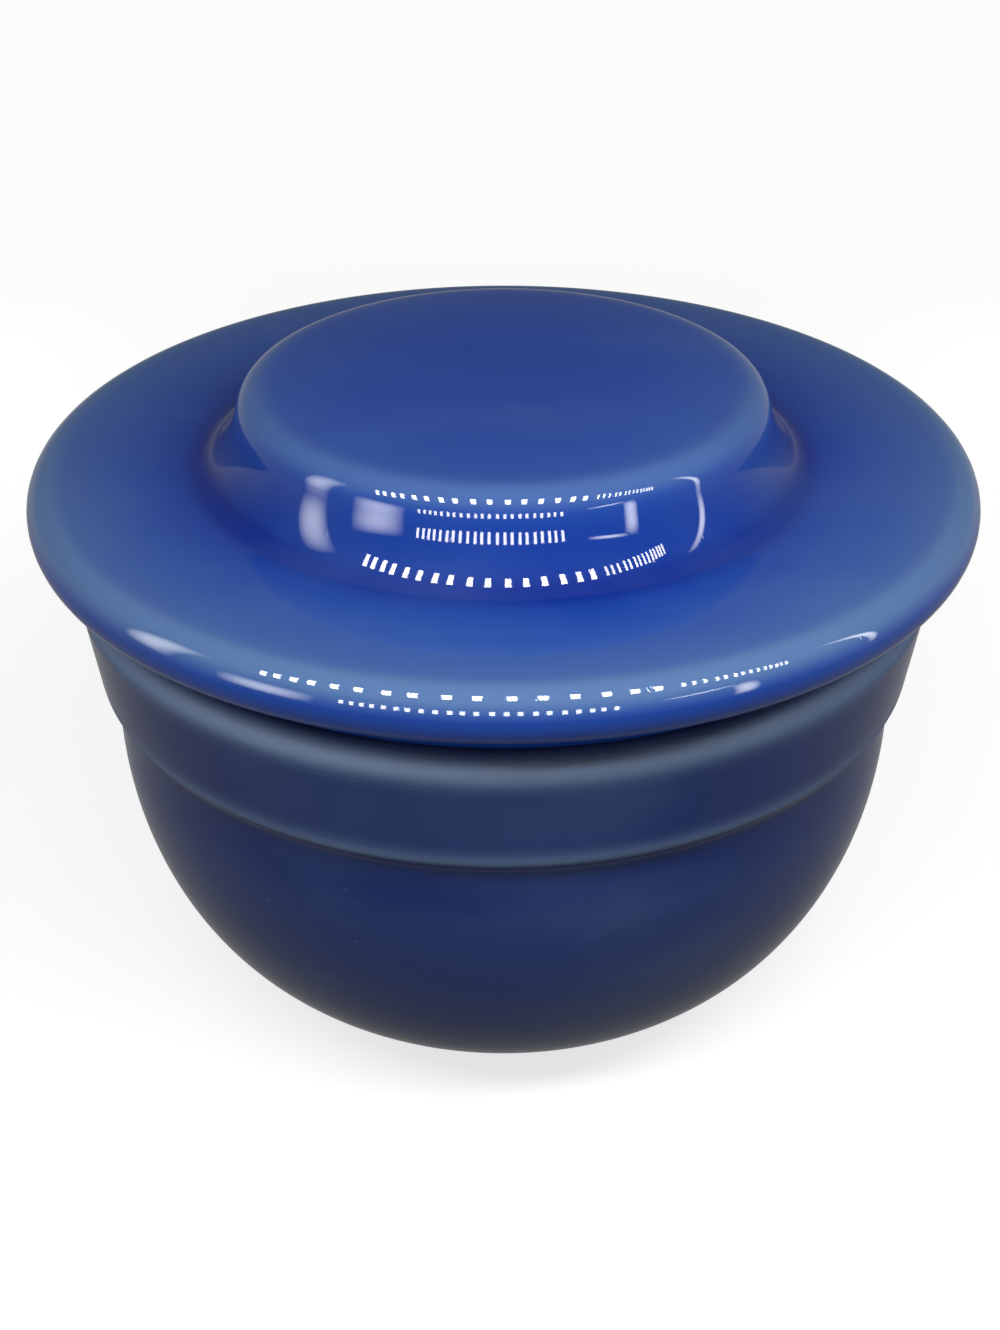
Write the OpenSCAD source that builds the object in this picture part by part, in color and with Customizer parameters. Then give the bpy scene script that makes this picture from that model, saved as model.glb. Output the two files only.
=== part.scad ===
// Butter crock: a round stoneware bowl that holds water, and a wide lid with a butter bell under it.
// Both pieces turn about the Z axis, and the table is at z = 0.

/* [Crock] */
// Height of the crock from the table to its rim
crock_h = 67; // [56:0.5:90]
// Outside diameter of the crock at its rim
rim_d = 117.6; // [98:0.2:142]
// Thickness of the rim
rim_t = 6.6; // [5.2:0.1:8.2]
// Height of the collar, from its lower edge to the rim
collar_h = 17; // [10:0.5:22]
// How much the collar's radius grows from its lower edge to the rim
collar_flare = 1.7; // [0:0.1:2.4]
// How far the collar stands out from the wall below it
collar_step = 2; // [0.8:0.1:2.4]
// Height over which the collar's lower edge slopes out
collar_slope = 2.6; // [1:0.1:4]
// Upright wall between the collar and the belly's curve
upright_h = 8.1; // [4:0.1:14]
// How far the belly's curve sweeps in towards the axis
belly_sweep = 28.6; // [24:0.2:36]
// Wall thickness of the crock
wall = 4.8; // [3.8:0.1:6]
// Thickness of the crock's floor over the recess in the foot
floor_t = 6; // [4:0.1:9]
// Diameter of the flat inside floor
floor_d = 48; // [38:0.5:58]
// Rounding of the rim on its outer side
rim_round = 2.6; // [1:0.1:3.2]
// Rounding of the rim on its inner side
mouth_round = 1.4; // [0.6:0.1:2.2]

/* [Foot] */
// Outside diameter of the foot ring
foot_d = 62.4; // [52:0.2:76]
// Width of the flat face that the crock stands on
foot_land = 3.6; // [2:0.1:6]
// Height of the foot ring
foot_h = 2; // [1.4:0.1:4]
// Width of the hollow curve between the foot ring and the belly
foot_cove = 2.8; // [1:0.1:4]
// Depth of the recess inside the foot ring
foot_recess = 1.4; // [0.6:0.1:2.5]

/* [Lid] */
// How far the lid's lip reaches out past the crock's rim
lip_overhang = 5.2; // [4:0.1:14]
// Thickness of the lip
lip_t = 7.4; // [5:0.1:9]
// How far the lip's round edge reaches out
lip_nose = 2.2; // [1.5:0.1:3.5]
// Height of the lip's underside above the crock's rim
lip_lift = 4.6; // [3:0.1:8]
// How much lower the flange is at the neck than at the lip
flange_dip = 1; // [0:0.1:2]
// How far the raised middle's top edge lies inside the bell's inner wall
top_inset = 6.7; // [4:0.1:12]
// Height of the raised middle above the flange
top_h = 11.2; // [9.4:0.1:15]
// Rounding of the raised middle's top edge
top_round = 4.4; // [2:0.1:5]
// Lean of the neck's wall out of the upright, in degrees
neck_lean = 16; // [8:1:24]
// Radius of the slow hollow curve down the neck's wall
neck_sweep = 11.5; // [8:0.5:12]
// Lean at which the slow curve ends, in degrees
neck_turn = 43; // [36:1:50]
// Radius of the tight hollow curve between the neck and the flange
neck_round = 4; // [2.5:0.1:5]
// Depth of the shallow dish in the top
dish = 0.5; // [0:0.1:1]
// Width of the flat ring around the dish, which the lid stands on when turned over
dish_land = 4; // [2:0.5:6]
// Thickness of the raised middle's top under the dish
top_t = 5.8; // [4:0.1:8]

/* [Butter bell] */
// Wall thickness of the bell
bell_wall = 4.6; // [3.6:0.1:6]
// How much smaller the bell's radius is at its rim than at the flange
bell_taper = 1.7; // [0.5:0.1:4]
// Radius of the curve between the bell's wall and its ceiling
bell_corner = 15; // [13:0.5:18]
// Height of the groove between the bell and the seat ring
groove_h = 3; // [1:0.1:4]

/* [Fits] */
// Gap between the seat ring and the rim it rests on
seat_gap = 0; // [0:0.05:0.5]
// How far the seat ring laps over the rim's inner edge
seat_lap = 0.5; // [0:0.1:1.2]
// Water gap between the bell and the crock's mouth
bell_gap = 8.4; // [6:0.1:13]
// Height of the bell's rim above the crock's floor
bell_clear = 13.4; // [8:0.1:24]

/* [Hidden] */
$fn = 96;
glaze = [0.17, 0.29, 0.6];
bend_steps = 8;
sweep_steps = 24;
foot_chamfer = 0.6;
seat_chamfer = 0.6;
cove_w = 3.4;

rim_r = rim_d / 2;
mouth_r = rim_r - rim_t;
collar_r = rim_r - collar_flare;
belly_r = collar_r - collar_step;
belly_in_r = belly_r - wall;
foot_r = foot_d / 2;
floor_r = floor_d / 2;
collar_z = crock_h - collar_h;
belly_z = collar_z - upright_h;
floor_z = foot_recess + floor_t;
belly_c = belly_r - belly_sweep;
// Half height of the ellipse that passes from the upright wall to the foot ring's hollow curve
belly_fall = (belly_z - foot_h) / sqrt(1 - pow((foot_r + foot_cove - belly_c) / belly_sweep, 2));
foot_angle = asin((belly_z - foot_h) / belly_fall);

seat_z = crock_h + seat_gap;
seat_out_r = rim_r - rim_round;
seat_in_r = mouth_r + seat_lap;
lip_z = seat_z + lip_lift;
flange_r = rim_r + lip_overhang;
nose_r = flange_r - lip_nose;
flange_z = lip_z + lip_t - flange_dip;
top_z = flange_z + top_h;
bell_r = mouth_r - bell_gap;
bell_mouth_r = bell_r - bell_taper;
bell_in_r = bell_r - bell_wall;
bell_z = floor_z + bell_clear;
ceiling_z = top_z - dish - top_t;
groove_r = (seat_in_r - bell_r) / 2;
top_r = bell_in_r - top_inset;
dish_r = top_r - dish_land;
// The neck's outline turns through a convex edge, a straight wall, a slow hollow and a tight hollow
neck_drop = top_round * (1 - sin(neck_lean)) + neck_sweep * (sin(neck_turn) - sin(neck_lean))
    + neck_round * (1 - sin(neck_turn));
neck_wall = (top_h - neck_drop) / cos(neck_lean);
wall_r = top_r + top_round * cos(neck_lean) + neck_wall * sin(neck_lean);
wall_z = top_z - top_round * (1 - sin(neck_lean)) - neck_wall * cos(neck_lean);
sweep_r = wall_r + neck_sweep * cos(neck_lean);
sweep_z = wall_z + neck_sweep * sin(neck_lean);
neck_r = sweep_r - (neck_sweep - neck_round) * cos(neck_turn);

// Points on an ellipse about [r, z], from angle a to angle b
function bend(r, z, rr, rz, a, b, n = bend_steps) =
    [for (i = [0:n]) let (t = a + (b - a) * i / n) [r + rr * cos(t), z + rz * sin(t)]];

// Points that ease from one radius to another over a height
function ease(r0, z0, r1, z1, n = bend_steps) =
    [for (i = [0:n]) let (t = i / n) [r0 + (r1 - r0) * t * t * (3 - 2 * t), z0 + (z1 - z0) * t]];

crock_outline = concat(
    [[0, foot_recess], [foot_r - foot_land - foot_recess, foot_recess]],
    [[foot_r - foot_land, 0], [foot_r - foot_chamfer, 0], [foot_r, foot_chamfer]],
    bend(foot_r + foot_cove, foot_chamfer, foot_cove, foot_h - foot_chamfer, 180, 90),
    bend(belly_c, belly_z, belly_sweep, belly_fall, -foot_angle, 0, sweep_steps),
    ease(belly_r, collar_z - collar_slope / 2, collar_r, collar_z + collar_slope / 2),
    bend(rim_r - rim_round, crock_h - rim_round, rim_round, rim_round, 0, 90),
    bend(mouth_r + mouth_round, crock_h - mouth_round, mouth_round, mouth_round, 90, 180),
    bend(floor_r, belly_z, belly_in_r - floor_r, belly_z - floor_z, 0, -90, sweep_steps),
    [[0, floor_z]]
);

top_outline = concat(
    [for (i = [0:bend_steps]) let (t = i / bend_steps) [dish_r * t, top_z - dish * (1 + cos(180 * t)) / 2]],
    bend(top_r, top_z - top_round, top_round, top_round, 90, neck_lean),
    bend(sweep_r, sweep_z, neck_sweep, neck_sweep, 180 + neck_lean, 180 + neck_turn),
    bend(neck_r, flange_z + neck_round, neck_round, neck_round, 180 + neck_turn, 270),
    bend(nose_r, lip_z + lip_t / 2, lip_nose, lip_t / 2, 90, -90)
);

under_outline = concat(
    bend(seat_out_r + cove_w, seat_z + seat_chamfer, cove_w, lip_lift - seat_chamfer, 90, 180),
    [[seat_out_r - seat_chamfer, seat_z]],
    bend(bell_r + groove_r, seat_z, groove_r, groove_h, 0, 180)
);

bell_outline = concat(
    bend(bell_mouth_r - bell_wall / 2, bell_z + bell_wall / 2, bell_wall / 2, bell_wall / 2, 0, -180),
    bend(bell_in_r - bell_corner, ceiling_z - bell_corner, bell_corner, bell_corner, 0, 90),
    [[0, ceiling_z]]
);

// The bowl, with its foot ring, collar and rim
module crock() {
    color(glaze) rotate_extrude() polygon(crock_outline);
}

// The lid and the butter bell under it, which are one fired piece
module bell_lid() {
    color(glaze) rotate_extrude() polygon(concat(top_outline, under_outline, bell_outline));
}

crock();
bell_lid();
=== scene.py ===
import math

import bpy
import numpy as np
from mathutils import Matrix, Vector


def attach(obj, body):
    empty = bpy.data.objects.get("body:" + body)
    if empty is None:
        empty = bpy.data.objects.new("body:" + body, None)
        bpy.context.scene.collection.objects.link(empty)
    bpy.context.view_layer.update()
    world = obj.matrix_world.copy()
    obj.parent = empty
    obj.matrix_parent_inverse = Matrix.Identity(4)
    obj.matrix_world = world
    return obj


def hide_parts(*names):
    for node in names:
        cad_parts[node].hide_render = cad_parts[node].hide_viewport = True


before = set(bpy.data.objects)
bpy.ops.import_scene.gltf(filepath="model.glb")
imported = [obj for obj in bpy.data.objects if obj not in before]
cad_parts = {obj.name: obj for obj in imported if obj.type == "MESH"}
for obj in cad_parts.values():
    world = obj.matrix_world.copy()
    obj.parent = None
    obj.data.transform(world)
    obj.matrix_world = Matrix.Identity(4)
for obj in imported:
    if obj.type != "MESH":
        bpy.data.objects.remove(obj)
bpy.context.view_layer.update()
mm = 0.001

# The camera looks down at the lid from the front; tilt and turn aim it a little below and left of the lid
cameraView = dict(aimHeight=75.3 * mm, distance=262.4 * mm, elevation=25.85, tilt=5.85, turn=0.10,
                  lens=51.5, nearest=10 * mm)


def makeCamera(p):
    lift, tilt, turn = (math.radians(p[k]) for k in ("elevation", "tilt", "turn"))
    place = Vector((0, -math.cos(lift), math.sin(lift))) * p["distance"] + Vector((0, 0, p["aimHeight"]))
    data = bpy.data.cameras.new("camera")
    data.lens = p["lens"]
    data.clip_start = p["nearest"]
    camera = bpy.data.objects.new("camera", data)
    aim = Matrix.Rotation(math.pi / 2 - lift - tilt, 4, "X") @ Matrix.Rotation(turn, 4, "Y")
    camera.matrix_world = Matrix.Translation(place) @ aim
    bpy.context.scene.collection.objects.link(camera)
    bpy.context.scene.camera = camera


makeCamera(cameraView)
print("camera placed")

# How many steps a bend of each kind is drawn with, and the length in millimetres that counts as nothing
steps = dict(tiny=6, small=8, usual=24, corner=36, lip=40, long=96)
nothing = 1e-6


# Points [r, z] on an ellipse about (r, z), from angle a to angle b in degrees:
# r + rr cos t and z + rz sin t, with t running evenly from a to b
def bend(r, z, rr, rz, a, b, n=steps["usual"]):
    t = np.radians(np.linspace(a, b, n + 1))
    return np.stack([r + rr * np.cos(t), z + rz * np.sin(t)], 1)


# Points that ease from (r0, z0) to (r1, z1), with t running evenly from 0 to 1: the radius follows
# 3t^2 - 2t^3 and the height follows t
def ease(r0, z0, r1, z1, n=steps["usual"]):
    t = np.linspace(0, 1, n + 1)
    return np.stack([r0 + (r1 - r0) * t * t * (3 - 2 * t), z0 + (z1 - z0) * t], 1)


# The same outline with n points. It is first cut into 4n even steps, and each point is blended with its
# neighbours, soften times over. The n points then lie closer together where it bends: they are even in
# arc length + bendShare * angle turned.
def resample(outline, n, bendShare, soften):
    keep = np.r_[True, np.hypot(*np.diff(outline, axis=0).T) > nothing]
    pts = outline[keep]
    step = np.diff(pts, axis=0)
    length = np.hypot(step[:, 0], step[:, 1])
    even = np.linspace(0, length.sum(), 4 * n)
    along = np.r_[0, np.cumsum(length)]
    fine = np.stack([np.interp(even, along, pts[:, k]) for k in (0, 1)], 1)
    for i in range(soften):
        fine[1:-1] = (fine[:-2] + 2 * fine[1:-1] + fine[2:]) / 4
    step = np.diff(fine, axis=0)
    angle = np.unwrap(np.arctan2(step[:, 1], step[:, 0]))
    bent = np.abs(np.gradient(angle))
    weight = np.cumsum(np.hypot(step[:, 0], step[:, 1]) + bendShare * bent)
    places = np.linspace(0, weight[-1], n)
    return np.stack([np.interp(places, np.r_[0, weight], fine[:, k]) for k in (0, 1)], 1)


# How far the outline turns per millimetre at each point, above zero on an outer edge and below on a
# hollow. Each value is a mean along the outline near the point, with the weight exp(-(distance / reach)^2).
def curvature(outline, reach):
    step = np.gradient(outline, axis=0)
    angle = np.unwrap(np.arctan2(step[:, 1], step[:, 0]))
    length = np.hypot(step[:, 0], step[:, 1])
    along = np.cumsum(length)
    bent = np.gradient(angle) / np.maximum(length, nothing)
    gap = np.abs(along[:, None] - along[None, :]) / reach
    near = np.exp(-gap * gap) * length[None, :]
    return (near @ bent) / near.sum(1)


# Slow unevenness of a hand-finished pot, at most size millimetres: sine waves that go round the axis 2, 3
# and 7 times, with 0.6, 0.3 and 0.1 of the size
def roundWaves(a, size, phase):
    slow = 0.6 * np.sin(2 * a + phase) + 0.3 * np.sin(3 * a + 2.1 * phase)
    return size * (slow + 0.1 * np.sin(7 * a - phase))


# A turned piece: the outline's point (r, z) at angle a lies at ((r + out) cos a, (r + out) sin a, z),
# where out is the waves round the axis, which grow with the height up to waveHeight. The outline starts
# and ends on the axis, where each end is one vertex.
def turned(name, outline, look, attributes):
    turns = look["turns"]
    a = np.linspace(0, 2 * np.pi, turns, endpoint=False)
    r, z = (np.repeat(outline[1:-1, k][:, None], turns, 1) for k in (0, 1))
    out = roundWaves(a, look["waveSize"], look["wavePhase"]) * np.clip(z / look["waveHeight"], 0, 1)
    ring = np.stack([(r + out) * np.cos(a), (r + out) * np.sin(a), z], 2)
    rows = len(outline) - 2
    ends = [[0, 0, outline[0, 1]], [0, 0, outline[-1, 1]]]
    verts = np.concatenate([ring.reshape(-1, 3), ends]) * mm
    i, j = np.meshgrid(np.arange(rows - 1), np.arange(turns), indexing="ij")
    k = (j + 1) % turns
    quads = np.stack([i * turns + j, i * turns + k, (i + 1) * turns + k, (i + 1) * turns + j], 2)
    j = np.arange(turns)
    k = (j + 1) % turns
    first, last = rows * turns, rows * turns + 1
    low = np.stack([np.full(turns, first), k, j], 1)
    high = np.stack([np.full(turns, last), (rows - 1) * turns + j, (rows - 1) * turns + k], 1)
    mesh = bpy.data.meshes.new(name)
    mesh.from_pydata(verts.tolist(), [], quads.reshape(-1, 4).tolist() + low.tolist() + high.tolist())
    mesh.shade_smooth()
    for label, values in attributes.items():
        data = np.concatenate([np.repeat(values[1:-1], turns), values[[0, -1]]]).astype(np.float32)
        mesh.attributes.new(label, "FLOAT", "POINT").data.foreach_set("value", data)
    piece = bpy.data.objects.new(name, mesh)
    bpy.context.scene.collection.objects.link(piece)
    return piece


# The bowl, in millimetres
crock = dict(height=67, rimRadius=58.8, rimThick=6.6, rimRound=2.6, mouthRound=1.4, collarHeight=17,
             collarFlare=1.7, collarStep=2.0, collarSlope=3.2, upright=8.1, sweep=28.6, wall=4.8,
             floorTop=7.4, floorRadius=24, footRadius=31.2, footLand=3.6, footHeight=2, footCove=2.8,
             recess=1.4, footSoft=0.6)


# The outline from the axis under the bowl, round the foot ring, up the outside, over the rim and down the
# inside to the axis: ellipses for the foot, the belly, the rim and the inside, and an ease at the collar's
# lower edge
def crockOutline(p):
    collarRadius = p["rimRadius"] - p["collarFlare"]
    bellyRadius = collarRadius - p["collarStep"]
    insideRadius = bellyRadius - p["wall"]
    mouthRadius = p["rimRadius"] - p["rimThick"]
    collarZ = p["height"] - p["collarHeight"]
    halfSlope = p["collarSlope"] / 2
    bellyZ = collarZ - p["upright"]
    centre = bellyRadius - p["sweep"]
    share = (p["footRadius"] + p["footCove"] - centre) / p["sweep"]
    fall = (bellyZ - p["footHeight"]) / math.sqrt(1 - share * share)
    footAngle = math.degrees(math.asin((bellyZ - p["footHeight"]) / fall))
    soft, land = p["footSoft"], p["footRadius"] - p["footLand"]
    rim, mouth = p["rimRound"], p["mouthRound"]
    return np.concatenate([
        [[0, p["recess"]], [land - p["recess"] - soft, p["recess"]]],
        bend(land, soft, soft, soft, 180, 270, steps["small"]),
        bend(p["footRadius"] - soft, soft, soft, soft, -90, 0, steps["small"]),
        bend(p["footRadius"] + p["footCove"], soft, p["footCove"], p["footHeight"] - soft, 180, 90),
        bend(centre, bellyZ, p["sweep"], fall, -footAngle, 0, steps["long"]),
        ease(bellyRadius, collarZ - halfSlope, collarRadius, collarZ + halfSlope),
        bend(p["rimRadius"] - rim, p["height"] - rim, rim, rim, 0, 90),
        bend(mouthRadius + mouth, p["height"] - mouth, mouth, mouth, 90, 180),
        bend(p["floorRadius"], bellyZ, insideRadius - p["floorRadius"], bellyZ - p["floorTop"], 0, -90,
             steps["long"]),
        [[0, p["floorTop"]]]])


# The lid and its bell, in millimetres
lid = dict(seat=67, seatOuter=56.2, seatInner=52.7, lift=4.6, lip=7.4, radius=64, nose=3.2, dip=1.0,
           rise=11.2, topRadius=32, topRound=3.8, neckLean=12, neckSweep=13, neckTurn=43, neckRound=4,
           dish=0.5, dishLand=4, topThick=5.8, cove=3.4, seatSoft=0.6, groove=3, bellRadius=43.8,
           bellTaper=1.7, bellWall=4.6, bellFoot=20.8, corner=15)


# The outline from the dish in the top, down the neck, out over the flange and the lip, in under the seat
# and the groove, round the bell's rim and up its inside to the axis, and then turned end for end to run as
# the bowl's does. The neck is a convex arc, a straight wall that leans, a slow hollow arc and a tight one,
# and the dish falls by half of 1 + the cosine.
def lidOutline(p):
    lipZ = p["seat"] + p["lift"]
    flangeZ = lipZ + p["lip"] - p["dip"]
    topZ = flangeZ + p["rise"]
    noseRadius = p["radius"] - p["nose"]
    lean, turn = (math.radians(p[k]) for k in ("neckLean", "neckTurn"))
    drop = (p["topRound"] * (1 - math.sin(lean)) + p["neckSweep"] * (math.sin(turn) - math.sin(lean))
            + p["neckRound"] * (1 - math.sin(turn)))
    straight = (p["rise"] - drop) / math.cos(lean)
    wallR = p["topRadius"] + p["topRound"] * math.cos(lean) + straight * math.sin(lean)
    wallZ = topZ - p["topRound"] * (1 - math.sin(lean)) - straight * math.cos(lean)
    sweepR = wallR + p["neckSweep"] * math.cos(lean)
    sweepZ = wallZ + p["neckSweep"] * math.sin(lean)
    neckR = sweepR - (p["neckSweep"] - p["neckRound"]) * math.cos(turn)
    bellMouth = p["bellRadius"] - p["bellTaper"]
    inside = p["bellRadius"] - p["bellWall"]
    ceiling = topZ - p["dish"] - p["topThick"]
    grooveR = (p["seatInner"] - p["bellRadius"]) / 2
    halfLip, halfWall = p["lip"] / 2, p["bellWall"] / 2
    edge, soft = p["topRound"], p["seatSoft"]
    dishR = np.linspace(0, p["topRadius"] - p["dishLand"], steps["usual"] + 1)
    dishZ = topZ - p["dish"] * (1 + np.cos(np.pi * dishR / dishR[-1])) / 2
    return np.concatenate([
        np.stack([dishR, dishZ], 1),
        bend(p["topRadius"], topZ - edge, edge, edge, 90, p["neckLean"]),
        bend(sweepR, sweepZ, p["neckSweep"], p["neckSweep"], 180 + p["neckLean"], 180 + p["neckTurn"]),
        bend(neckR, flangeZ + p["neckRound"], p["neckRound"], p["neckRound"], 180 + p["neckTurn"], 270),
        bend(noseRadius, lipZ + halfLip, p["nose"], halfLip, 90, -90, steps["lip"]),
        bend(p["seatOuter"] + p["cove"], p["seat"] + soft, p["cove"], p["lift"] - soft, 90, 180),
        bend(p["seatOuter"] - soft, p["seat"] + soft, soft, soft, 0, -90, steps["tiny"]),
        bend(p["bellRadius"] + grooveR, p["seat"], grooveR, p["groove"], 0, 180),
        bend(bellMouth - halfWall, p["bellFoot"] + halfWall, halfWall, halfWall, 0, -180),
        bend(inside - p["corner"], ceiling - p["corner"], p["corner"], p["corner"], 0, 90, steps["corner"]),
        [[0, ceiling]]])[::-1]


# Each mesh, and where its glaze is thin or thick. The pale mark on edges is partly thin glaze and partly a
# painted highlight. near and far are the reaches in millimetres over which the outline's bend is measured,
# and edge, edgeFar, hollow and hollowFar say how strongly each counts. The pale mark is kept to faces that
# look up by more than upFrom: painted light from above. Beyond the radius flatFrom the lid's flange is
# painted paler still: a painted sheen. Below bareHeight and outside bareInside the clay is bare: the ring
# that the bowl stands on.
# The bowl's pale mark also reaches faces that look down and is wide and strong at the collar's lower edge:
# partly thin glaze on that edge, partly painted light that lightens the shaded slope under it
crockLook = dict(points=240, turns=360, bendShare=1.5, soften=2, waveSize=0.12, wavePhase=0.7,
                 waveHeight=50, near=1.3, far=7, edge=4, edgeFar=0.4, hollow=0.2, hollowFar=2,
                 upFrom=-2, upFade=0.5, flat=0, flatFrom=0, flatFade=6, bareHeight=0.9, bareFade=0.4,
                 bareInside=26.2, bareInFade=0.6)
# The lid keeps its pale mark to faces that look up, and its flange beyond flatFrom is painted paler: a
# painted sheen
lidLook = dict(crockLook, points=270, waveSize=0, near=0.9, far=10, edge=1.8, edgeFar=3.2, hollow=4,
               hollowFar=4, upFrom=0.15, flat=0.19, flatFrom=44, bareHeight=-1)


def makePiece(name, outline, look, body, node):
    line = resample(outline, look["points"], look["bendShare"], look["soften"])
    near, far = curvature(line, look["near"]), curvature(line, look["far"])
    step = np.gradient(line, axis=0)
    faceUp = -step[:, 0] / np.hypot(step[:, 0], step[:, 1])
    # The pale mark is kept to faces that look up: painted light from above
    litFromAbove = np.clip((faceUp - look["upFrom"]) / look["upFade"], 0, 1)
    edge = np.clip(near * look["edge"], 0, 1) + np.clip(far * look["edgeFar"], 0, 1)
    # A painted sheen: the lid's flange beyond flatFrom is painted paler
    edge = edge + look["flat"] * np.clip((line[:, 0] - look["flatFrom"]) / look["flatFade"], 0, 1)
    hollow = np.clip(-near * look["hollow"], 0, 1) + np.clip(-far * look["hollowFar"], 0, 1)
    low = np.clip((look["bareHeight"] - line[:, 1]) / look["bareFade"], 0, 1)
    bare = low * np.clip((line[:, 0] - look["bareInside"]) / look["bareInFade"], 0, 1)
    attributes = dict(edge=np.clip(edge * litFromAbove, 0, 1), hollow=np.clip(hollow, 0, 1), bare=bare)
    piece = turned(name, line, look, attributes)
    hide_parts(node)
    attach(piece, body)
    return piece


crockPiece = makePiece("crock_glazed", crockOutline(crock), crockLook, "crock", "crock")
lidPiece = makePiece("lid_glazed", lidOutline(lid), lidLook, "lid", "bell_lid")
print("pieces turned")


def link(tree, a, b):
    tree.links.new(a, b)


def addNode(tree, kind, label, **settings):
    made = tree.nodes.new(kind)
    made.label = label
    for key, value in settings.items():
        setattr(made, key, value)
    return made


# Named inputs and outputs for a node group, each given as (name, kind) with kind Vector, Color or Float
def addSockets(tree, way, sockets):
    for label, kind in sockets:
        tree.interface.new_socket(label, in_out=way, socket_type="NodeSocket" + kind)


# A noise pattern on the piece's own coordinates, with its scale in cycles a metre
def noise(tree, coords, label, scale, detail, stretch=(1, 1, 1)):
    place = addNode(tree, "ShaderNodeMapping", label + " stretch")
    place.inputs["Scale"].default_value = stretch
    link(tree, coords, place.inputs["Vector"])
    pattern = addNode(tree, "ShaderNodeTexNoise", label)
    pattern.inputs["Scale"].default_value = scale
    pattern.inputs["Detail"].default_value = detail
    link(tree, place.outputs["Vector"], pattern.inputs["Vector"])
    return pattern.outputs["Fac"]


def remap(tree, value, label, fromLow, fromHigh, toLow, toHigh):
    ramp = addNode(tree, "ShaderNodeMapRange", label, interpolation_type="SMOOTHSTEP")
    limits = zip(("From Min", "From Max", "To Min", "To Max"), (fromLow, fromHigh, toLow, toHigh))
    for socket, number in limits:
        ramp.inputs[socket].default_value = number
    link(tree, value, ramp.inputs["Value"])
    return ramp.outputs["Result"]


def calculate(tree, operation, a, b, label):
    made = addNode(tree, "ShaderNodeMath", label, operation=operation)
    for socket, value in zip(made.inputs, (a, b)):
        if isinstance(value, (int, float)):
            socket.default_value = value
        else:
            link(tree, value, socket)
    return made.outputs[0]


def mixColours(tree, share, a, b, label):
    made = addNode(tree, "ShaderNodeMix", label, data_type="RGBA")
    link(tree, share, made.inputs["Factor"])
    for socket, value in ((made.inputs[6], a), (made.inputs[7], b)):
        if isinstance(value, tuple):
            socket.default_value = (*value, 1)
        else:
            link(tree, value, socket)
    return made.outputs[2]


# Most of a noise pattern's values lie between these two
noiseSpan = (0.3, 0.7)

# Bare clay: the grit's scale in cycles a metre, the noise values over which grains appear, and the range of
# its roughness
claySkin = dict(gritScale=1400, gritDetail=3, grains=(0.52, 0.68), grainShare=0.8, rough=(0.7, 0.9),
                gritHeight=0.15)


# Fired clay where no glaze lies: a buff body with dark grains
def clayGroup(p):
    tree = bpy.data.node_groups.new("firedClay", "ShaderNodeTree")
    addSockets(tree, "INPUT", (("Position", "Vector"), ("Body", "Color"), ("Grain", "Color")))
    addSockets(tree, "OUTPUT", (("Color", "Color"), ("Roughness", "Float"), ("Height", "Float")))
    inside = addNode(tree, "NodeGroupInput", "in")
    outside = addNode(tree, "NodeGroupOutput", "out")
    grit = noise(tree, inside.outputs["Position"], "grit", p["gritScale"], p["gritDetail"])
    share = remap(tree, grit, "grains", *p["grains"], 0, p["grainShare"])
    colour = mixColours(tree, share, inside.outputs["Body"], inside.outputs["Grain"], "clay")
    link(tree, colour, outside.inputs["Color"])
    link(tree, remap(tree, grit, "dry", *noiseSpan, *p["rough"]), outside.inputs["Roughness"])
    link(tree, calculate(tree, "MULTIPLY", grit, p["gritHeight"], "rough face"), outside.inputs["Height"])
    return tree


# The glaze's unevenness: scales in cycles a metre, how much thinner or thicker clouds and streaks make it,
# the noise values at which specks and pinholes appear, the range of its roughness, and heights as shares
# of the bump's depth
glazeSkin = dict(cloudScale=28, cloudDetail=3, cloudShare=0.10, streakScale=45, streakDetail=4,
                 streakStretch=(0.35, 1, 1.6), streakShare=0.08, peelScale=420, peelDetail=2, pinScale=900,
                 specks=(0.87, 0.92), speckShare=0.4, holes=(0.16, 0.22), holeHeight=-0.05,
                 gloss=(0.018, 0.03), waveHeight=0.9, peelHeight=0.012)
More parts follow.
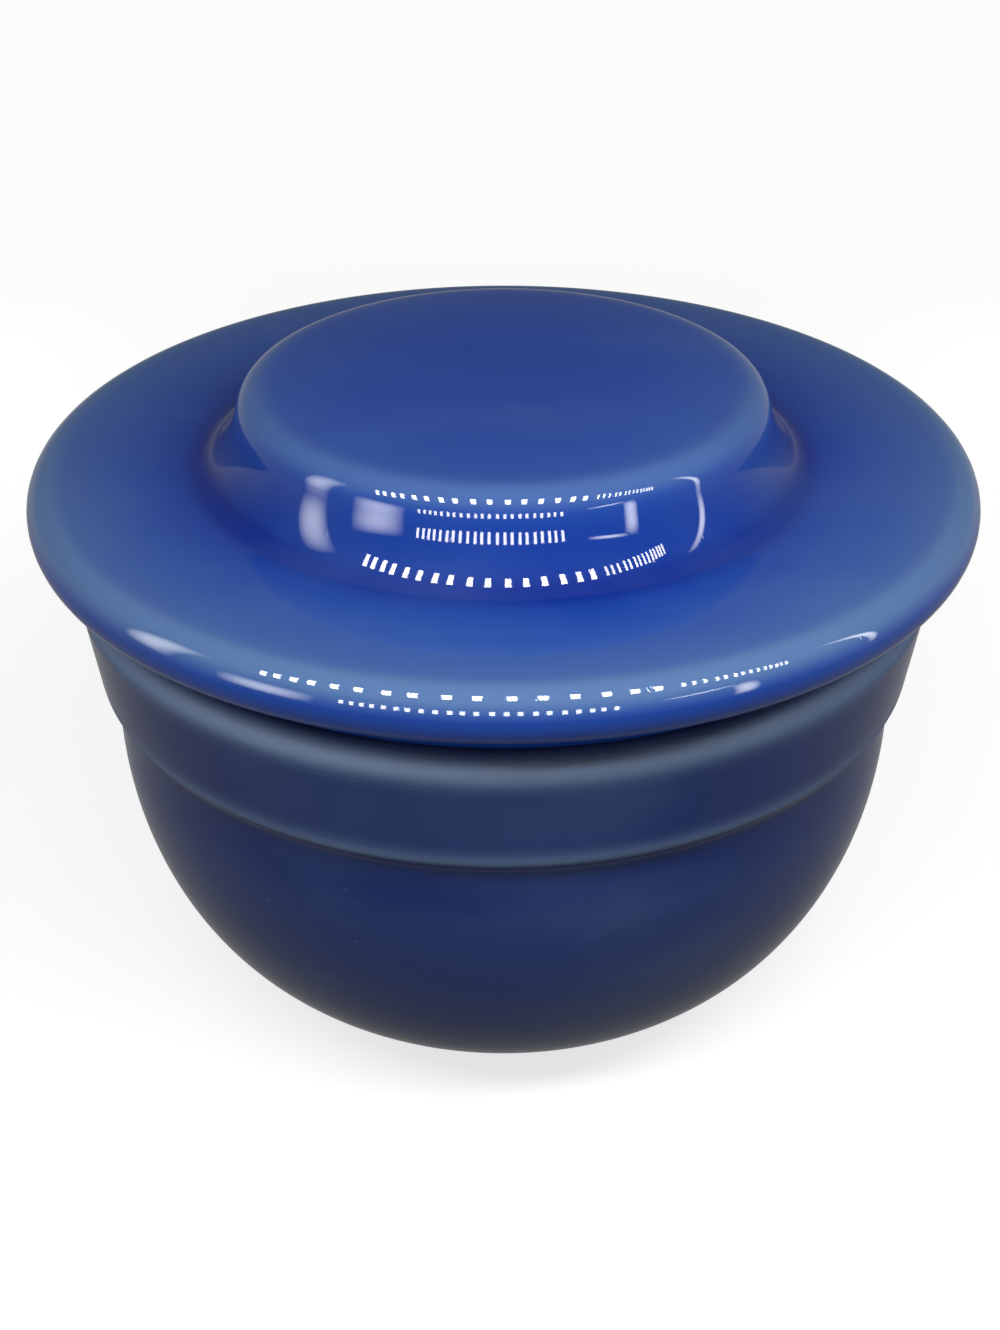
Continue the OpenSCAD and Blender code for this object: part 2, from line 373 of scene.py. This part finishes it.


# How a dipped glaze lies: thin and pale on an edge, thick and deep in a hollow, slightly uneven all over.
# The pale edge mark also carries a painted highlight and sheen.
def glazeGroup(p):
    tree = bpy.data.node_groups.new("dippedGlaze", "ShaderNodeTree")
    addSockets(tree, "INPUT", (("EdgeAndSheen", "Float"), ("Hollow", "Float"), ("Dry", "Float"),
                               ("Position", "Vector"), ("ThinAndSheenColor", "Color"), ("Even", "Color"),
                               ("Thick", "Color")))
    addSockets(tree, "OUTPUT", (("Color", "Color"), ("Roughness", "Float"), ("Height", "Float")))
    inside = addNode(tree, "NodeGroupInput", "in")
    outside = addNode(tree, "NodeGroupOutput", "out")
    place = inside.outputs["Position"]
    clouds = noise(tree, place, "clouds", p["cloudScale"], p["cloudDetail"])
    brush = noise(tree, place, "dip streaks", p["streakScale"], p["streakDetail"], p["streakStretch"])
    grain = noise(tree, place, "glaze skin", p["peelScale"], p["peelDetail"])
    pins = noise(tree, place, "pinholes", p["pinScale"], 0)
    cloudy = remap(tree, clouds, "clouds", *noiseSpan, -p["cloudShare"], p["cloudShare"])
    streaky = remap(tree, brush, "streaks", *noiseSpan, -p["streakShare"], p["streakShare"])
    uneven = calculate(tree, "ADD", cloudy, streaky, "unevenness")
    thinSpots = calculate(tree, "MAXIMUM", uneven, 0, "thin spots")
    # The pale mark: thin glaze on edges and specks, together with the painted highlight and sheen that the
    # edge mark carries
    thinAndSheen = calculate(tree, "ADD", inside.outputs["EdgeAndSheen"], thinSpots, "thinAndSheen")
    specks = remap(tree, pins, "specks", *p["specks"], 0, p["speckShare"])
    thinAndSheen = calculate(tree, "MAXIMUM", thinAndSheen, specks, "specks")
    thickSpots = calculate(tree, "MINIMUM", uneven, 0, "thick spots")
    thick = calculate(tree, "SUBTRACT", inside.outputs["Hollow"], thickSpots, "thick")
    colour = mixColours(tree, thick, inside.outputs["Even"], inside.outputs["Thick"], "pooled")
    colour = mixColours(tree, thinAndSheen, colour, inside.outputs["ThinAndSheenColor"], "edges")
    link(tree, colour, outside.inputs["Color"])
    gloss = remap(tree, grain, "gloss", *noiseSpan, *p["gloss"])
    dry = calculate(tree, "MULTIPLY", inside.outputs["EdgeAndSheen"], inside.outputs["Dry"], "dry edges")
    link(tree, calculate(tree, "ADD", gloss, dry, "roughness"), outside.inputs["Roughness"])
    waves = calculate(tree, "MULTIPLY", clouds, p["waveHeight"], "waves")
    skin = calculate(tree, "MULTIPLY", grain, p["peelHeight"], "orange peel")
    holes = remap(tree, pins, "holes", *p["holes"], 1, 0)
    holes = calculate(tree, "MULTIPLY", holes, p["holeHeight"], "holes")
    height = calculate(tree, "ADD", calculate(tree, "ADD", waves, skin, "skin"), holes, "height")
    link(tree, height, outside.inputs["Height"])
    return tree


# The bowl's glaze is darker than the lid's: painted shade for the weaker light on the bowl's sides; dry is
# how much rougher its thin edges are
lidGlaze = dict(thinAndSheen=(0.100, 0.192, 0.41), even=(0.013, 0.068, 0.40), thick=(0.003, 0.026, 0.27), dry=0,
                ior=1.5, bump=0.05, bumpDepth=1 * mm, clay=(0.40, 0.31, 0.22), grain=(0.16, 0.12, 0.09))
crockShadedGlaze = dict(lidGlaze, thinAndSheen=(0.120, 0.195, 0.35), even=(0.008, 0.031, 0.172),
                  thick=(0.004, 0.020, 0.13), dry=0.6)


def glazeMaterial(name, glazeTree, clayTree, p):
    material = bpy.data.materials.new(name)
    material.use_nodes = True
    tree = material.node_tree
    shader = tree.nodes["Principled BSDF"]
    shader.inputs["IOR"].default_value = p["ior"]
    coords = addNode(tree, "ShaderNodeTexCoord", "place")
    glaze = addNode(tree, "ShaderNodeGroup", "dipped glaze", node_tree=glazeTree)
    link(tree, coords.outputs["Object"], glaze.inputs["Position"])
    for label, attribute in (("EdgeAndSheen", "edge"), ("Hollow", "hollow")):
        made = addNode(tree, "ShaderNodeAttribute", label, attribute_name=attribute)
        link(tree, made.outputs["Fac"], glaze.inputs[label])
    glaze.inputs["Dry"].default_value = p["dry"]
    for label, key in (("ThinAndSheenColor", "thinAndSheen"), ("Even", "even"), ("Thick", "thick")):
        glaze.inputs[label].default_value = (*p[key], 1)
    bump = addNode(tree, "ShaderNodeBump", "glaze surface")
    bump.inputs["Distance"].default_value = p["bumpDepth"]
    bump.inputs["Strength"].default_value = p["bump"]
    clay = addNode(tree, "ShaderNodeGroup", "fired clay", node_tree=clayTree)
    link(tree, coords.outputs["Object"], clay.inputs["Position"])
    clay.inputs["Body"].default_value = (*p["clay"], 1)
    clay.inputs["Grain"].default_value = (*p["grain"], 1)
    bare = addNode(tree, "ShaderNodeAttribute", "bare", attribute_name="bare").outputs["Fac"]
    colour = mixColours(tree, bare, glaze.outputs["Color"], clay.outputs["Color"], "glaze or clay")
    link(tree, colour, shader.inputs["Base Color"])
    for label, target in (("Roughness", shader.inputs["Roughness"]), ("Height", bump.inputs["Height"])):
        blend = addNode(tree, "ShaderNodeMix", label + " of glaze or clay")
        link(tree, bare, blend.inputs["Factor"])
        link(tree, glaze.outputs[label], blend.inputs["A"])
        link(tree, clay.outputs[label], blend.inputs["B"])
        link(tree, blend.outputs["Result"], target)
    link(tree, bump.outputs["Normal"], shader.inputs["Normal"])
    return material


dippedGlaze = glazeGroup(glazeSkin)
bareClay = clayGroup(claySkin)
# The bowl's darker glaze is painted shade
crockPiece.data.materials.append(glazeMaterial("crockShadedGlaze", dippedGlaze, bareClay, crockShadedGlaze))
lidPiece.data.materials.append(glazeMaterial("lidGlaze", dippedGlaze, bareClay, lidGlaze))
print("glaze made")

# Light from all round: two rows of (sine of the elevation, brightness), one for the open front of the
# light tent and one for its back and sides, which blend between frontEdge and backEdge of the direction's
# y. seen is the white that the camera sees behind everything, and fill is the tent's strength as light
# that isn't mirrored.
tent = dict(frontEdge=-0.55, backEdge=0.05, seen=0.965, fill=0.28,
            front=[(-1, 0.2), (-0.75, 0.2), (-0.45, 0.19), (-0.2, 0.15), (0.05, 0.1), (0.5, 0.12),
                   (1, 0.4)],
            back=[(-1, 0.2), (-0.6, 0.26), (-0.3, 0.33), (-0.1, 0.36), (0.05, 0.28), (0.2, 0.2),
                  (0.35, 0.15), (0.6, 0.12), (0.8, 0.2), (1, 0.3)])


# A brightness for each value from -1 to 1, in straight lines between the marks
def levels(tree, value, marks, label):
    ramp = addNode(tree, "ShaderNodeValToRGB", label)
    elements = ramp.color_ramp.elements
    while len(elements) < len(marks):
        elements.new(0.5)
    for element, (height, bright) in zip(elements, marks):
        element.position = (height + 1) / 2
        element.color = (bright, bright, bright, 1)
    half = calculate(tree, "MULTIPLY", value, 0.5, "half")
    link(tree, calculate(tree, "ADD", half, 0.5, "0 to 1"), ramp.inputs["Fac"])
    return ramp.outputs["Color"]


def makeWorld(p):
    world = bpy.data.worlds.new("lightTent")
    world.use_nodes = True
    bpy.context.scene.world = world
    tree = world.node_tree
    tree.nodes.clear()
    out = addNode(tree, "ShaderNodeOutputWorld", "out")
    seen = addNode(tree, "ShaderNodeBackground", "seen")
    seen.inputs["Color"].default_value = (p["seen"], p["seen"], p["seen"], 1)
    lit = addNode(tree, "ShaderNodeBackground", "lit")
    mix = addNode(tree, "ShaderNodeMixShader", "seen or lit")
    path = addNode(tree, "ShaderNodeLightPath", "path")
    coords = addNode(tree, "ShaderNodeTexCoord", "direction")
    split = addNode(tree, "ShaderNodeSeparateXYZ", "parts")
    link(tree, coords.outputs["Generated"], split.inputs[0])
    behind = remap(tree, split.outputs["Y"], "front to back", p["frontEdge"], p["backEdge"], 0, 1)
    front = levels(tree, split.outputs["Z"], p["front"], "front")
    back = levels(tree, split.outputs["Z"], p["back"], "back")
    link(tree, mixColours(tree, behind, front, back, "tent"), lit.inputs["Color"])
    strength = remap(tree, path.outputs["Is Diffuse Ray"], "fill", 0, 1, 1, p["fill"])
    link(tree, strength, lit.inputs["Strength"])
    link(tree, path.outputs["Is Camera Ray"], mix.inputs[0])
    link(tree, lit.outputs[0], mix.inputs[1])
    link(tree, seen.outputs[0], mix.inputs[2])
    link(tree, mix.outputs[0], out.inputs[0])


makeWorld(tent)

# The soft lamp over the pot, the light that the table throws back up and two low lamps behind. They light
# the glaze and the floor but aren't mirrored. Places, sizes and aims are in millimetres, power is in watts
# and spread in degrees.
lamps = [dict(place=(20, -135, 218), size=(360, 50), aim=(0, -20, 75), power=0.50, spread=180),
         dict(place=(0, -210, 8), size=(420, 120), aim=(0, 0, 45), power=0.07, spread=140),
         dict(place=(240, 190, 42), size=(260, 60), aim=(0, 0, 44), power=0.22, spread=140),
         dict(place=(-240, 190, 42), size=(260, 60), aim=(0, 0, 44), power=0.22, spread=140)]


def makeLamp(p):
    data = bpy.data.lights.new("lamp", "AREA")
    data.shape = "RECTANGLE"
    data.size, data.size_y = (side * mm for side in p["size"])
    data.energy = p["power"]
    data.spread = math.radians(p["spread"])
    light = bpy.data.objects.new("lamp", data)
    place, aim = Vector(p["place"]) * mm, Vector(p["aim"]) * mm
    facing = (aim - place).to_track_quat("-Z", "Y").to_matrix().to_4x4()
    light.matrix_world = Matrix.Translation(place) @ facing
    light.visible_glossy = False
    light.visible_camera = False
    bpy.context.scene.collection.objects.link(light)


for lamp in lamps:
    makeLamp(lamp)

# The small lamps that the glaze mirrors, in millimetres. Each row lies along x from first to last, a step
# apart but for a jitter, which is a share of the step, and wide and tall are the size of one lamp's bar.
# The lip is given by its radius and height.
diodes = dict(seed=4, jitter=0.07, heightJitter=1.5, lip=(62.8, 78), settle=30, rows=dict(
    upper=dict(y=-130, z=240, first=-186, last=112, step=19, wide=6, tall=58, bright=34),
    upperBunch=dict(y=-130, z=240, first=118, last=270, step=11, wide=3, tall=50, bright=26),
    lower=dict(y=-318, z=136, first=-198, last=138, step=15.5, wide=6, tall=60, bright=22)))

# The soft windows that the glaze mirrors, in millimetres. Each stands at the distance away from the centre,
# at a bearing from the front and a height angle, both in degrees; soft is how fast its sides fade.
windows = dict(centre=(0, -50, 80), away=350, soft=1.1, sides=[
    dict(bearing=-54, up=2, wide=150, tall=170, bright=9),
    dict(bearing=-84, up=14, wide=90, tall=280, bright=8),
    dict(bearing=55, up=1, wide=40, tall=190, bright=12),
    dict(bearing=45, up=15, wide=110, tall=22, bright=14),
    dict(bearing=88, up=14, wide=20, tall=300, bright=12)])


# Emission seen in the first mirroring only; soft makes it fade to nothing at the sides of the bar:
# brightness x (16 u (1 - u) v (1 - v)) to the power soft
def glowing(name, bright, soft):
    material = bpy.data.materials.new(name)
    material.use_nodes = True
    tree = material.node_tree
    tree.nodes.clear()
    light = addNode(tree, "ShaderNodeEmission", "light")
    out = addNode(tree, "ShaderNodeOutputMaterial", "out")
    path = addNode(tree, "ShaderNodeLightPath", "path")
    first = calculate(tree, "LESS_THAN", path.outputs["Ray Depth"], 1.5, "first mirroring")
    strength = calculate(tree, "MULTIPLY", first, bright, "brightness")
    if soft:
        place = addNode(tree, "ShaderNodeUVMap", "across the bar")
        split = addNode(tree, "ShaderNodeSeparateXYZ", "u and v")
        link(tree, place.outputs["UV"], split.inputs[0])
        far = [calculate(tree, "SUBTRACT", 1, split.outputs[k], "far side") for k in (0, 1)]
        inner = [calculate(tree, "MULTIPLY", far[k], split.outputs[k], "inside") for k in (0, 1)]
        both = calculate(tree, "MULTIPLY", *inner, "inside both")
        fade = calculate(tree, "POWER", calculate(tree, "MULTIPLY", both, 16, "middle is 1"), soft, "fade")
        strength = calculate(tree, "MULTIPLY", fade, strength, "strength")
    link(tree, strength, light.inputs["Strength"])
    link(tree, light.outputs[0], out.inputs["Surface"])
    return material


# Flat bars about their places: each corner is place +- wide/2 across +- tall/2 upwards
def makeBars(name, places, across, upwards, look, soft=0):
    a, b = across * look["wide"] / 2, upwards * look["tall"] / 2
    corners = np.stack([places - a - b, places + a - b, places + a + b, places - a + b], 1).reshape(-1, 3)
    mesh = bpy.data.meshes.new(name)
    mesh.from_pydata((corners * mm).tolist(), [], np.arange(len(corners)).reshape(-1, 4).tolist())
    uv = np.tile([0, 0, 1, 0, 1, 1, 0, 1], len(places)).astype(float)
    mesh.uv_layers.new(name="bar").data.foreach_set("uv", uv)
    mesh.materials.append(glowing(name, look["bright"], soft))
    bars = bpy.data.objects.new(name, mesh)
    bars.visible_camera = bars.visible_diffuse = bars.visible_shadow = False
    bpy.context.scene.collection.objects.link(bars)


def unit(v):
    return v / np.linalg.norm(v, axis=-1, keepdims=True)


# Bars that lie along the way their image moves down the lid's lip. The lip's normal at bearing a and
# height angle h is n = (cos h sin a, -cos h cos a, sin h), the mirrored direction is l = 2 (n.v) n - v,
# and the bar follows dl/dh. The bearing of each mirroring spot is found by settling: it turns to the
# normal found last.
def makeRow(name, row, p, eye, rng):
    x = np.arange(row["first"], row["last"], row["step"])
    x = x + rng.uniform(-p["jitter"], p["jitter"], len(x)) * row["step"]
    z = row["z"] + rng.uniform(-p["heightJitter"], p["heightJitter"], len(x))
    places = np.stack([x, np.full(len(x), row["y"]), z], 1)
    lipRadius, lipHeight = p["lip"]
    a = np.zeros(len(x))
    for i in range(p["settle"]):
        spot = np.stack([lipRadius * np.sin(a), -lipRadius * np.cos(a), np.full(len(x), lipHeight)], 1)
        n = unit(unit(places - spot) + unit(eye - spot))
        a = np.arctan2(n[:, 0], -n[:, 1])
    v = unit(eye - spot)
    h = np.arcsin(n[:, 2])
    tilt = np.stack([-np.sin(h) * np.sin(a), np.sin(h) * np.cos(a), np.cos(h)], 1)
    upwards = unit((tilt * v).sum(1)[:, None] * n + (n * v).sum(1)[:, None] * tilt)
    across = unit(np.cross(places - spot, upwards))
    makeBars(name, places, across, upwards, row)


def makeReflections(rowLook, sideLook):
    rng = np.random.default_rng(rowLook["seed"])
    eye = np.array(bpy.context.scene.camera.matrix_world.translation) / mm
    for name, row in rowLook["rows"].items():
        makeRow(name, row, rowLook, eye, rng)
    for k, window in enumerate(sideLook["sides"]):
        turn, lift = math.radians(window["bearing"]), math.radians(window["up"])
        level = math.cos(lift)
        out = np.array([[level * math.sin(turn), -level * math.cos(turn), math.sin(lift)]])
        across = unit(np.cross(out, [[0, 0, 1.0]]))
        place = np.array([sideLook["centre"]]) + out * sideLook["away"]
        makeBars(f"window{k}", place, across, np.cross(across, out), window, sideLook["soft"])


makeReflections(diodes, windows)
print("lights set")

# The floor fades into the white all round it between two distances from the axis, in millimetres
floorLook = dict(size=3000, fadeFrom=110, fadeTo=330, glow=0.745, albedo=0.5, roughness=0.9)


def makeFloor(p):
    size = p["size"] * mm
    mesh = bpy.data.meshes.new("floor")
    corners = [(-size, -size, 0), (size, -size, 0), (size, size, 0), (-size, size, 0)]
    mesh.from_pydata(corners, [], [(0, 1, 2, 3)])
    floor = bpy.data.objects.new("floor", mesh)
    bpy.context.scene.collection.objects.link(floor)
    material = bpy.data.materials.new("paleFloor")
    material.use_nodes = True
    tree = material.node_tree
    shader = tree.nodes["Principled BSDF"]
    shader.inputs["Base Color"].default_value = (p["albedo"], p["albedo"], p["albedo"], 1)
    shader.inputs["Roughness"].default_value = p["roughness"]
    shader.inputs["Specular IOR Level"].default_value = 0
    shader.inputs["Emission Color"].default_value = (1, 1, 1, 1)
    shader.inputs["Emission Strength"].default_value = p["glow"]
    white = addNode(tree, "ShaderNodeEmission", "white")
    white.inputs["Color"].default_value = (tent["seen"], tent["seen"], tent["seen"], 1)
    coords = addNode(tree, "ShaderNodeTexCoord", "place")
    away = addNode(tree, "ShaderNodeVectorMath", "away", operation="LENGTH")
    link(tree, coords.outputs["Object"], away.inputs[0])
    mix = addNode(tree, "ShaderNodeMixShader", "fade")
    fade = remap(tree, away.outputs["Value"], "fade", p["fadeFrom"] * mm, p["fadeTo"] * mm, 0, 1)
    link(tree, fade, mix.inputs[0])
    link(tree, shader.outputs[0], mix.inputs[1])
    link(tree, white.outputs[0], mix.inputs[2])
    link(tree, mix.outputs[0], tree.nodes["Material Output"].inputs["Surface"])
    mesh.materials.append(material)
    floor.visible_diffuse = floor.visible_glossy = False


makeFloor(floorLook)
bpy.context.scene.view_settings.view_transform = "Standard"
print("floor set")
